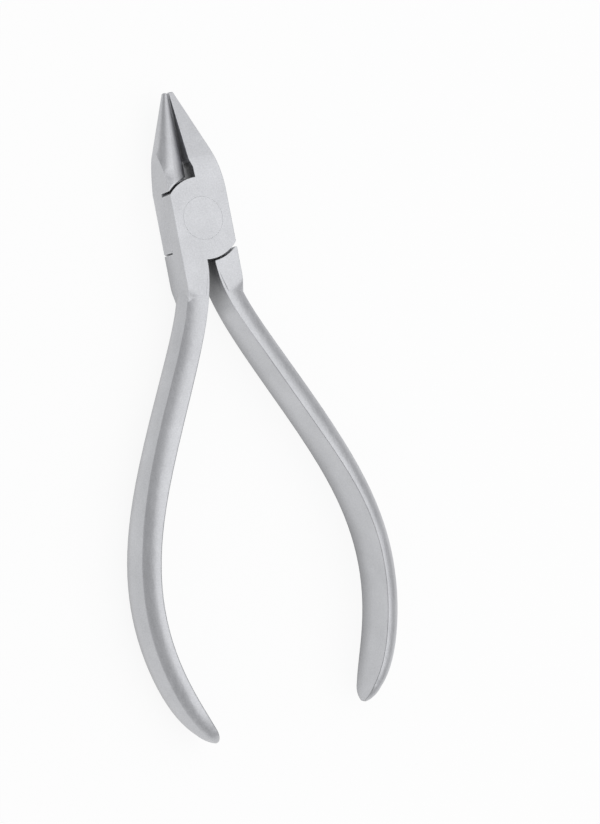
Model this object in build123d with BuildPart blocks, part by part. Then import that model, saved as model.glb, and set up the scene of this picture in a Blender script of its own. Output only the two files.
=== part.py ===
from build123d import *
from math import cos, radians, sin, sqrt, tan
import os

# Orthodontic bird-beak pliers, lying flat: pivot axis along +Z, tips towards +Y, rivet head up.
# The origin is on the pivot axis, at the back face of the head. Sizes are in millimetres and degrees.

# Head and lap joint
head_thickness = 8.0
head_width = 12.4
cheek_radius = 8.3
front_shoulder_gap = 0.5
back_shoulder_gap = 0.3
shoulder_corner_radius = 0.25
lap_clearance = 0.04

# Beaks, closed a hair apart at a plane that lies a little to the round beak's side of the pivot
beak_reach = 26.2
closing_offset = 0.6
jaw_gap = 0.16
tip_thickness = 0.8
taper_start = 10.5
taper_blend_radius = 18.0
flat_tip_width = 0.9
flat_flare_angle = 19.0
flank_blend_share = 0.54
cone_tip_radius = 0.56
cone_half_angle = 10.4
tip_break = 0.2

# Hard insert that forms the flat beak's gripping face, and the relief under it
insert_foot = 12.0
insert_thickness = 1.5
relief_depth = 0.5
relief_height = 1.6

# Rivet, flush on both sides
rivet_shank_diameter = 5.0
rivet_head_diameter = 8.6
rivet_head_height = 1.8
rivet_tail_diameter = 6.6
rivet_tail_height = 1.1
rivet_clearance = 0.025

# Handles: the crotch where their inner faces start, then stations down to the rounded end.
# Each station has its distance below the pivot, half the gap between the handles,
# half the width of the flat inner face and the depth to the side ridges.
crotch_half_gap = 0.85
crotch_drop = 9.5
handle_spread = 49.6
lower_return = 1.8
handle_reach = 102.0
handle_stations = [
    (19.0, 3.2, 4.15, 4.0),
    (32.5, 9.6, 4.75, 3.95),
    (51.5, 19.0, 5.05, 3.75),
    (72.0, handle_spread / 2, 5.5, 3.25),
    (88.0, handle_spread / 2 - lower_return, 5.4, 3.2),
]

# Rounded handle end: where it stands, the size it starts from, its length along the handle,
# the lift of its inner face and the shares of its length at which it has a section
end_half_gap = 16.1
end_heading = 34.0
end_half_face = 5.35
end_depth = 3.1
end_rounding = 12.5
end_lift = 0.35
end_shares = (0.4, 0.7, 0.9, 0.99)
cap_start = 1

# Handle section: height of the side ridges as a share of the half face, and the outer crown
ridge_share = 0.68
handle_crown = 0.5

# Handle root, sunk in the head, and the run-out of the head's flat faces into the handle
root_proud = 0.12
root_margin = 0.15
run_out_drop = 13.2
run_out_slope = 34.0
scoop_radius = 8.0
scoop_entry_angle = 35.0
scoop_entry_rounding = 3.0
block_foot_width = 2.6

middle = head_thickness / 2
half_width = head_width / 2
flat_face_x = -closing_offset + jaw_gap / 2
round_face_x = -closing_offset - jaw_gap / 2
front_shoulder_radius = cheek_radius + front_shoulder_gap
back_shoulder_radius = cheek_radius + back_shoulder_gap

os.makedirs("parts", exist_ok=True)


def handle_section(plane, half_face, depth, crown, inset=0.0):
    # D-shaped section: flat inner face, rounded sides that fall away to a ridge, crowned outer face
    ridge_height = ridge_share * half_face
    ridge_depth = inset + depth
    with BuildSketch(plane) as section:
        with BuildLine():
            Line((inset, -half_face), (inset, half_face))
            TangentArc((inset, half_face), (ridge_depth, ridge_height), tangent=(1, 0))
            ThreePointArc((ridge_depth, ridge_height), (ridge_depth + crown, 0), (ridge_depth, -ridge_height))
            TangentArc((inset, -half_face), (ridge_depth, -ridge_height), tangent=(1, 0))
        make_face()
    return section.sketch


# Course of the left handle's flat inner face, at mid thickness
with BuildLine() as course_line:
    Spline(
        (-crotch_half_gap, -crotch_drop, middle),
        *[(-half_gap, -drop, middle) for drop, half_gap, half_face, depth in handle_stations],
        (-end_half_gap, -handle_reach, middle),
        tangents=[(0, -1), (sin(radians(end_heading)), -cos(radians(end_heading)))],
    )
course = course_line.edge()


def course_plane(point):
    # Plane across the handle at a point of its course, with X pointing out of the outer face
    along = course.tangent_at(point)
    return Plane(origin=point, x_dir=(along.Y, -along.X, 0), z_dir=along)


root_depth = half_width - crotch_half_gap - handle_crown - root_margin
root_plane = course_plane(course.position_at(0))
sections = [handle_section(root_plane, middle + root_proud, root_depth, handle_crown)]
for drop, half_gap, half_face, depth in handle_stations:
    station_plane = course_plane(Vector(-half_gap, -drop, middle))
    sections.append(handle_section(station_plane, half_face, depth, handle_crown))

# The end closes like a thumb tip: its width and depth shrink along a quarter of an ellipse.
# The handle reaches to the section numbered cap_start, and the cap goes on from there.
end_sections = []
for share in end_shares:
    size = sqrt(1 - share**2)
    end_point = course.position_at(course.length - end_rounding * (1 - share), PositionMode.LENGTH)
    end_sections.append(
        handle_section(
            course_plane(end_point),
            end_half_face * size,
            end_depth * size,
            handle_crown * size,
            inset=end_depth * (1 - size) * end_lift,
        )
    )
sections += end_sections[: cap_start + 1]

# The head's flat faces run out on a line that slopes inwards from the head's side, into a scoop
run_out_start = Vector(-half_width, -run_out_drop)
run_out_along = Vector(cos(radians(run_out_slope)), -sin(radians(run_out_slope)))
run_out_down = Vector(run_out_along.Y, -run_out_along.X)
scoop_centre = run_out_start + run_out_down * (scoop_radius * sin(radians(scoop_entry_angle)))
scoop_rise = scoop_radius * cos(radians(scoop_entry_angle))
foot_start = scoop_centre + run_out_along * ((-half_width - scoop_centre.X) / run_out_along.X)
foot_end = foot_start + run_out_along * block_foot_width
run_out_left = run_out_start - run_out_along * head_width
run_out_right = run_out_start + run_out_along * head_width

# One half without its beak: front cheek and left handle. The other half is the same, turned over.
with BuildPart() as half_blank:
    with BuildSketch():
        with BuildLine():
            Polyline(
                (-half_width, 0),
                foot_start,
                foot_end,
                (-crotch_half_gap, -crotch_drop),
                (-crotch_half_gap, 0),
                close=True,
            )
        make_face()
    extrude(amount=head_thickness)
    for scoop_height in (-scoop_rise, head_thickness + scoop_rise):
        scoop_origin = (scoop_centre.X, scoop_centre.Y, scoop_height)
        with BuildSketch(Plane(origin=scoop_origin, x_dir=(0, 0, 1), z_dir=run_out_along)):
            Circle(scoop_radius)
        extrude(amount=head_width, both=True, mode=Mode.SUBTRACT)
    scoop_entries = half_blank.faces().filter_by(Axis.Z).edges().filter_by(Axis((0, 0, 0), run_out_along))
    fillet(scoop_entries, scoop_entry_rounding)
    loft(sections)
    loft(end_sections[cap_start:])
    for ground_height in (-root_proud * 2, head_thickness):
        with BuildSketch(Plane.XY.offset(ground_height)):
            with BuildLine():
                Polyline(
                    run_out_left,
                    run_out_right,
                    (run_out_right.X, 0),
                    (run_out_left.X, 0),
                    close=True,
                )
            make_face()
        extrude(amount=root_proud * 2, mode=Mode.SUBTRACT)
    with BuildSketch(Plane.XY.offset(middle + lap_clearance / 2)):
        Circle(cheek_radius)
        Rectangle(head_width, cheek_radius * 2, mode=Mode.INTERSECT)
    extrude(amount=middle - lap_clearance / 2)

# Rivet: head in the front cheek, shank through both cheeks, flared tail in the back cheek
with BuildPart() as pivot_rivet:
    with BuildSketch(Plane.XZ):
        with BuildLine():
            Polyline(
                (0, 0),
                (rivet_tail_diameter / 2, 0),
                (rivet_shank_diameter / 2, rivet_tail_height),
                (rivet_shank_diameter / 2, head_thickness - rivet_head_height),
                (rivet_head_diameter / 2, head_thickness - rivet_head_height),
                (rivet_head_diameter / 2, head_thickness),
                (0, head_thickness),
                close=True,
            )
        make_face()
    revolve(axis=Axis.Z)

# Flat beak: straight flank that flares from the tip and rounds into the head's side, thinned to the tip
tip_flank = flat_face_x + flat_tip_width
flank_start = beak_reach - (half_width - tip_flank) / tan(radians(flat_flare_angle))
flank_radius = flank_blend_share * flank_start / tan(radians(flat_flare_angle / 2))
relief_x = flat_face_x + relief_depth
with BuildPart() as flat_beak:
    with BuildSketch() as beak_outline:
        with BuildLine():
            Polyline(
                (relief_x, 0),
                (relief_x, insert_foot - relief_height),
                (flat_face_x, insert_foot),
                (flat_face_x, beak_reach),
                (tip_flank, beak_reach),
                (half_width, flank_start),
                (half_width, 0),
                close=True,
            )
        make_face()
        fillet(beak_outline.vertices().group_by(Axis.X)[-1].sort_by(Axis.Y)[-1], flank_radius)
    extrude(amount=head_thickness)
    with BuildSketch(Plane.YZ) as taper_profile:
        with BuildLine():
            Polyline(
                (0, 0),
                (taper_start, 0),
                (beak_reach, middle - tip_thickness / 2),
                (beak_reach, middle + tip_thickness / 2),
                (taper_start, head_thickness),
                (0, head_thickness),
                close=True,
            )
        make_face()
        taper_corners = taper_profile.vertices().filter_by_position(Axis.X, taper_start, taper_start)
        fillet(taper_corners, taper_blend_radius)
    extrude(amount=head_width, both=True, mode=Mode.INTERSECT)
    fillet(flat_beak.faces().sort_by(Axis.Y)[-1].edges(), tip_break)

insert_pocket = Pos(round_face_x, insert_foot, 0) * Box(
    jaw_gap + insert_thickness, beak_reach, head_thickness, align=(Align.MIN, Align.MIN, Align.MIN)
)

with BuildPart() as flat_beak_insert:
    add(flat_beak.part)
    add(insert_pocket, mode=Mode.INTERSECT)

with BuildPart() as flat_beak_half:
    add(flat_beak.part)
    add(insert_pocket, mode=Mode.SUBTRACT)
    add(half_blank.part)
    with BuildSketch():
        Circle(back_shoulder_radius)
    extrude(amount=middle + lap_clearance / 2, mode=Mode.SUBTRACT)
    with Locations((0, 0, head_thickness)):
        CounterBoreHole(
            radius=rivet_shank_diameter / 2 + rivet_clearance,
            counter_bore_radius=rivet_head_diameter / 2 + rivet_clearance,
            counter_bore_depth=rivet_head_height + rivet_clearance,
        )

# Round beak: a cone laid so that its inner line is along the jaw's closing plane, cut from the head block
cone_axis = Vector(-sin(radians(cone_half_angle)), -cos(radians(cone_half_angle)))
cone_tip_edge = Vector(round_face_x, beak_reach - 2 * cone_tip_radius * sin(radians(cone_half_angle)))
cone_tip_centre = cone_tip_edge + Vector(cone_axis.Y, -cone_axis.X) * cone_tip_radius
cone_length = beak_reach / cos(radians(cone_half_angle))
cone_base_radius = cone_tip_radius + cone_length * tan(radians(cone_half_angle))
cone_origin = (cone_tip_centre.X, cone_tip_centre.Y, middle)

with BuildPart() as round_beak_half:
    with Locations(Plane(origin=cone_origin, x_dir=(0, 0, 1), z_dir=cone_axis)):
        Cone(cone_tip_radius, cone_base_radius, cone_length, align=(Align.CENTER, Align.CENTER, Align.MIN))
    chamfer(round_beak_half.edges().filter_by(GeomType.CIRCLE).sort_by(Axis.Y)[-1], tip_break)
    with BuildSketch():
        with Locations((round_face_x, 0)):
            Rectangle(half_width + round_face_x, beak_reach, align=(Align.MAX, Align.MIN))
    extrude(amount=head_thickness, mode=Mode.INTERSECT)
    add(half_blank.part.rotate(Axis((0, 0, middle), (0, 1, 0)), 180))
    with BuildSketch(Plane.XY.offset(middle - lap_clearance / 2)):
        Circle(front_shoulder_radius)
    extrude(amount=middle + lap_clearance / 2, mode=Mode.SUBTRACT)
    shoulder_foot = sqrt(front_shoulder_radius**2 - half_width**2)
    upright_edges = round_beak_half.edges().filter_by(Axis.Z)
    shoulder_corner = upright_edges.sort_by_distance((half_width, -shoulder_foot, head_thickness))[0]
    fillet(shoulder_corner, shoulder_corner_radius)
    add(pivot_rivet.part, mode=Mode.SUBTRACT)

flat_beak_half.part.label = "flat_beak_half"
flat_beak_insert.part.label = "flat_beak_insert"
round_beak_half.part.label = "round_beak_half"
pivot_rivet.part.label = "pivot_rivet"
for piece in (flat_beak_half, flat_beak_insert, round_beak_half, pivot_rivet):
    export_step(piece.part, f"parts/{piece.part.label}.step")
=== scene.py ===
from math import radians

import bpy
from mathutils import Matrix, Vector


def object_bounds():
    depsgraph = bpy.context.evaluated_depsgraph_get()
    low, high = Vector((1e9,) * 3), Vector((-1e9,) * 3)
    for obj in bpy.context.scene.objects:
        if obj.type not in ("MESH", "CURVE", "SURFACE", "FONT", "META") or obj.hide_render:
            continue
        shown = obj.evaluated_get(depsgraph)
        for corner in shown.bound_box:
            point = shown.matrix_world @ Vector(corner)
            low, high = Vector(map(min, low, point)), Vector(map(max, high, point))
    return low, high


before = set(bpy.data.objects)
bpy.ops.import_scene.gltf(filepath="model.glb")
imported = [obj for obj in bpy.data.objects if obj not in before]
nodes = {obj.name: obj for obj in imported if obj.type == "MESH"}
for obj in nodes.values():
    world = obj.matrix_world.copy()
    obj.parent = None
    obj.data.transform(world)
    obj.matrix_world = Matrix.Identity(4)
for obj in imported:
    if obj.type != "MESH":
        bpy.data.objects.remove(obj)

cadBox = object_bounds()
print("loaded pliers:", ", ".join(sorted(nodes)))


# a shader node with its settings and inputs; an input is a number or another node's output
def addNode(tree, kind, inputs, **settings):
    node = tree.nodes.new(kind)
    for name, value in settings.items():
        setattr(node, name, value)
    for name, value in inputs.items():
        if isinstance(value, bpy.types.NodeSocket):
            tree.links.new(value, node.inputs[name])
        else:
            node.inputs[name].default_value = value
    return node


def mathNode(tree, operation, first, second):
    return addNode(tree, "ShaderNodeMath", {0: first, 1: second}, operation=operation).outputs["Value"]


def rangeNode(tree, value, fromMin, fromMax, toMin, toMax):
    inputs = {"Value": value, "From Min": fromMin, "From Max": fromMax, "To Min": toMin, "To Max": toMax}
    return addNode(tree, "ShaderNodeMapRange", inputs).outputs["Result"]


def noiseNode(tree, place, scale, detail):
    inputs = {"Vector": place, "Scale": scale, "Detail": detail}
    return addNode(tree, "ShaderNodeTexNoise", inputs).outputs["Fac"]


# satin steel of both halves: bead-blasted, then brushed along the tool
satinSteel = {
    "name": "satinSteel",
    "dark": (0.460, 0.466, 0.482, 1.0),
    "light": (0.635, 0.642, 0.664, 1.0),
    "roughLow": 0.32,
    "roughHigh": 0.46,
    "noiseLow": 0.3,                         # span of the noise that tint and roughness use
    "noiseHigh": 0.7,
    "cloudScale": 140.0,                     # broad handling marks
    "cloudDetail": 4.0,
    "grainScale": (2600.0, 240.0, 2600.0),   # short strokes along Y
    "grainDetail": 3.0,
    "grainShare": 0.45,
    "grainBump": 0.10,
    "blastScale": 3600.0,                    # bead-blast speckle
    "blastDetail": 2.0,
    "blastShare": 0.45,
    "blastBump": 0.14,
    "bumpHeight": 0.0001,                    # metres
    "edgeBreak": 0.00016,                    # metres, radius of the broken edges
    "edgeSamples": 6,
    "seamShare": 0.1,                        # finer at the rivet ring and the insert's seam
    "handleWear": 2.5,                       # rounder on the handles
    "headEdgeHighlight": 1.55,                        # painted light along the edges: a highlight on the head, shade on the handles
    "handleEdgeShade": 0.65,
    "edgeTurned": 0.86,                      # cosine of the turn where an edge has its full tone
    "edgeFlat": 0.99,                        # and where it has none
    "shadeTop": -0.008,                       # metres from the pivot, where the handles part: the top of the painted shade
    "crevice": 0.007,                        # metres, reach of the painted shade between them
    "creviceSamples": 8,
    "creviceDeep": 0.2,                      # openness at which the painted shade is darkest
    "creviceOpen": 0.9,                      # and at which it ends
    "creviceShade": 0.22,
}

# the flat beak's half gets painted shade in its crevices up to the insert's foot, darkening its relief
reliefSteel = dict(satinSteel, name="reliefSteel", shadeTop=0.0115, creviceShade=0.36)

# ground faces of the insert and the rivet are a touch finer; the insert gets faint painted shade in its
# crevices up to 30 mm from the pivot
hardMetal = dict(satinSteel, name="hardMetal", roughLow=0.30, blastBump=0.10, shadeTop=0.03, creviceShade=0.9)
rivetSteel = dict(satinSteel, name="rivetSteel", roughLow=0.30, blastBump=0.10)

# metres from the pivot: the rivet ring, the foot and outer side of the insert, the run into the handles
landmarks = {
    "ringReach": 0.0052,
    "seamFoot": 0.0115,
    "seamSide": 0.0016,
    "headEnd": -0.018,
    "handleStart": -0.030,
}


def alongTool(tree, axes, onHandle, onHead):
    start, end = landmarks["handleStart"], landmarks["headEnd"]
    return rangeNode(tree, axes["Y"], start, end, onHandle, onHead)


# radius of the broken edges: small at the rivet ring and the insert's seam, large on the handles
def edgeRadius(tree, axes, finish):
    across = addNode(tree, "ShaderNodeCombineXYZ", {"X": axes["X"], "Y": axes["Y"]})
    reach = addNode(tree, "ShaderNodeVectorMath", {0: across.outputs["Vector"]}, operation="LENGTH")
    offRing = mathNode(tree, "GREATER_THAN", reach.outputs["Value"], landmarks["ringReach"])
    belowSeam = mathNode(tree, "LESS_THAN", axes["Y"], landmarks["seamFoot"])
    besideSeam = mathNode(tree, "GREATER_THAN", axes["X"], landmarks["seamSide"])
    offSeam = mathNode(tree, "MAXIMUM", belowSeam, besideSeam)
    clear = mathNode(tree, "MINIMUM", offRing, offSeam)
    fine = finish["edgeBreak"] * finish["seamShare"]
    radius = rangeNode(tree, clear, 0.0, 1.0, fine, finish["edgeBreak"])
    return mathNode(tree, "MULTIPLY", radius, alongTool(tree, axes, finish["handleWear"], 1.0))


# painted shade: the base colour darkened in the crevices and between the parts, by how enclosed they are,
# below a set height along the tool
def paintedCreviceShade(tree, axes, finish):
    inputs = {"Distance": finish["crevice"]}
    crevice = addNode(tree, "ShaderNodeAmbientOcclusion", inputs, samples=finish["creviceSamples"])
    deep, opened = finish["creviceDeep"], finish["creviceOpen"]
    shaded = rangeNode(tree, crevice.outputs["AO"], deep, opened, finish["creviceShade"], 1.0)
    aboveShade = mathNode(tree, "GREATER_THAN", axes["Y"], finish["shadeTop"])
    return mathNode(tree, "MAXIMUM", shaded, aboveShade)


# painted light along the edges: a highlight on the head and shade on the handles, where the broken edge
# turns away
def paintedEdgeLight(tree, axes, edge, finish):
    faces = addNode(tree, "ShaderNodeNewGeometry", {})
    normals = {0: edge, 1: faces.outputs["Normal"]}
    turned = addNode(tree, "ShaderNodeVectorMath", normals, operation="DOT_PRODUCT").outputs["Value"]
    tone = alongTool(tree, axes, finish["handleEdgeShade"], finish["headEdgeHighlight"])
    return rangeNode(tree, turned, finish["edgeTurned"], finish["edgeFlat"], tone, 1.0)


def steelMaterial(finish):
    material = bpy.data.materials.new(finish["name"])
    material.use_nodes = True
    tree = material.node_tree
    shader = tree.nodes["Principled BSDF"]
    shader.inputs["Metallic"].default_value = 1.0

    place = addNode(tree, "ShaderNodeTexCoord", {}).outputs["Object"]
    axes = addNode(tree, "ShaderNodeSeparateXYZ", {"Vector": place}).outputs
    strokes = addNode(tree, "ShaderNodeMapping", {"Vector": place, "Scale": finish["grainScale"]})
    grain = noiseNode(tree, strokes.outputs["Vector"], 1.0, finish["grainDetail"])
    blast = noiseNode(tree, place, finish["blastScale"], finish["blastDetail"])
    cloud = noiseNode(tree, place, finish["cloudScale"], finish["cloudDetail"])

    # clouds drawn out by the strokes and broken up by the speckle
    streaks = addNode(tree, "ShaderNodeMix", {"Factor": finish["grainShare"], 2: cloud, 3: grain})
    marks = addNode(tree, "ShaderNodeMix", {"Factor": finish["blastShare"], 2: streaks.outputs[0], 3: blast})
    tint = addNode(tree, "ShaderNodeValToRGB", {"Fac": marks.outputs[0]})
    darkEnd, lightEnd = tint.color_ramp.elements
    darkEnd.position, darkEnd.color = finish["noiseLow"], finish["dark"]
    lightEnd.position, lightEnd.color = finish["noiseHigh"], finish["light"]

    radius = edgeRadius(tree, axes, finish)
    bevel = addNode(tree, "ShaderNodeBevel", {"Radius": radius}, samples=finish["edgeSamples"])
    edge = bevel.outputs["Normal"]
    # painted shade in the crevices times painted highlight and shade along the edges, multiplied into the
    # base colour
    paintedLight = mathNode(tree, "MULTIPLY", paintedCreviceShade(tree, axes, finish), paintedEdgeLight(tree, axes, edge, finish))
    tones = {0: tint.outputs["Color"], 1: paintedLight}
    shade = addNode(tree, "ShaderNodeVectorMath", tones, operation="MULTIPLY")
    tree.links.new(shade.outputs["Vector"], shader.inputs["Base Color"])

    low, high = finish["noiseLow"], finish["noiseHigh"]
    rough = rangeNode(tree, grain, low, high, finish["roughLow"], finish["roughHigh"])
    tree.links.new(rough, shader.inputs["Roughness"])

    normal = edge
    for height, strength in ((grain, finish["grainBump"]), (blast, finish["blastBump"])):
        inputs = {"Strength": strength, "Distance": finish["bumpHeight"], "Height": height, "Normal": normal}
        normal = addNode(tree, "ShaderNodeBump", inputs).outputs["Normal"]
    tree.links.new(normal, shader.inputs["Normal"])
    return material


finishes = {
    "flat_beak_half": reliefSteel,
    "flat_beak_insert": hardMetal,
    "round_beak_half": satinSteel,
    "pivot_rivet": rivetSteel,
}
for nodeName, finish in finishes.items():
    mesh = nodes[nodeName].data
    mesh.materials.clear()
    mesh.materials.append(steelMaterial(finish))
print("steel finishes set")

# pale floor that the pliers lie on, white for the camera and for reflections
floor = {"size": 6.0, "colour": (0.94, 0.94, 0.94, 1.0), "roughness": 0.9, "whiteShare": 0.9, "glow": 1.0}


def paleFloor(settings, height):
    bpy.ops.object.select_all(action="DESELECT")
    bpy.ops.mesh.primitive_plane_add(size=settings["size"], location=(0.0, 0.0, height))
    plane = bpy.context.object
    plane.name = "paleFloor"
    material = bpy.data.materials.new("paleFloor")
    material.use_nodes = True
    tree = material.node_tree
    shader = tree.nodes["Principled BSDF"]
    shader.inputs["Base Color"].default_value = settings["colour"]
    shader.inputs["Roughness"].default_value = settings["roughness"]
    shader.inputs["Specular IOR Level"].default_value = 0.0
    glow = addNode(tree, "ShaderNodeEmission", {"Strength": settings["glow"]})
    path = addNode(tree, "ShaderNodeLightPath", {}).outputs
    seen = mathNode(tree, "MAXIMUM", path["Is Camera Ray"], path["Is Glossy Ray"])
    seen = mathNode(tree, "MAXIMUM", seen, path["Is Transmission Ray"])
    share = mathNode(tree, "MULTIPLY", seen, settings["whiteShare"])
    surfaces = {"Fac": share, 1: shader.outputs["BSDF"], 2: glow.outputs["Emission"]}
    mix = addNode(tree, "ShaderNodeMixShader", surfaces)
    tree.links.new(mix.outputs["Shader"], tree.nodes["Material Output"].inputs["Surface"])
    plane.data.materials.append(material)


paleFloor(floor, cadBox[0][2])
print("floor set")

# soft studio light: a wide box overhead, towards the right
softBox = {
    "place": (0.20, -0.14, 0.70),
    "aim": (0.0, -0.14, 0.0),
    "length": 1.40,
    "width": 1.05,
    "watts": 3.4,
}


def softLight(name, settings):
    lamp = bpy.data.lights.new(name, "AREA")
    lamp.shape = "RECTANGLE"
    lamp.size = settings["length"]                    # along the pliers
    lamp.size_y = settings["width"]
    lamp.energy = settings["watts"]
    holder = bpy.data.objects.new(name, lamp)
    bpy.context.collection.objects.link(holder)
    holder.location = settings["place"]
    towards = Vector(settings["aim"]) - Vector(settings["place"])
    holder.rotation_euler = towards.to_track_quat("-Z", "Y").to_euler()


softLight("overhead", softBox)

# even grey light from all round
surround = {"colour": (0.56, 0.56, 0.565, 1.0), "strength": 1.0}

world = bpy.data.worlds.new("studio")
world.use_nodes = True
background = world.node_tree.nodes["Background"]
background.inputs["Color"].default_value = surround["colour"]
background.inputs["Strength"].default_value = surround["strength"]
bpy.context.scene.world = world
bpy.context.scene.view_settings.view_transform = "Standard"
print("studio light set")

# camera at the photo's angle: turned to the pliers' left, rolled so that they lean
shot = {
    "yaw": 28.0,
    "pitch": 1.2,
    "roll": 10.9,
    "distance": 0.445,
    "aim": (0.01526, -0.0418, 0.004),
    "pixelsPerMetre": 4895.0,
    "frameHeight": 824.0,
    "sensor": 24.0,
    "clipStart": 0.01,
}


def photoCamera(settings):
    turn = Matrix.Rotation(radians(settings["roll"]), 3, "Z")
    turn = turn @ Matrix.Rotation(radians(settings["pitch"]), 3, "X")
    turn = turn @ Matrix.Rotation(radians(settings["yaw"]), 3, "Y")
    lens = bpy.data.cameras.new("photoCamera")
    lens.sensor_fit = "VERTICAL"
    lens.sensor_height = settings["sensor"]
    frameReach = settings["frameHeight"] / settings["pixelsPerMetre"]
    lens.lens = settings["sensor"] * settings["distance"] / frameReach
    lens.clip_start = settings["clipStart"]
    holder = bpy.data.objects.new("photoCamera", lens)
    bpy.context.collection.objects.link(holder)
    facing = turn.transposed()
    place = Vector(settings["aim"]) + facing @ Vector((0.0, 0.0, settings["distance"]))
    holder.matrix_world = Matrix.Translation(place) @ facing.to_4x4()
    bpy.context.scene.camera = holder


photoCamera(shot)
print("camera set")
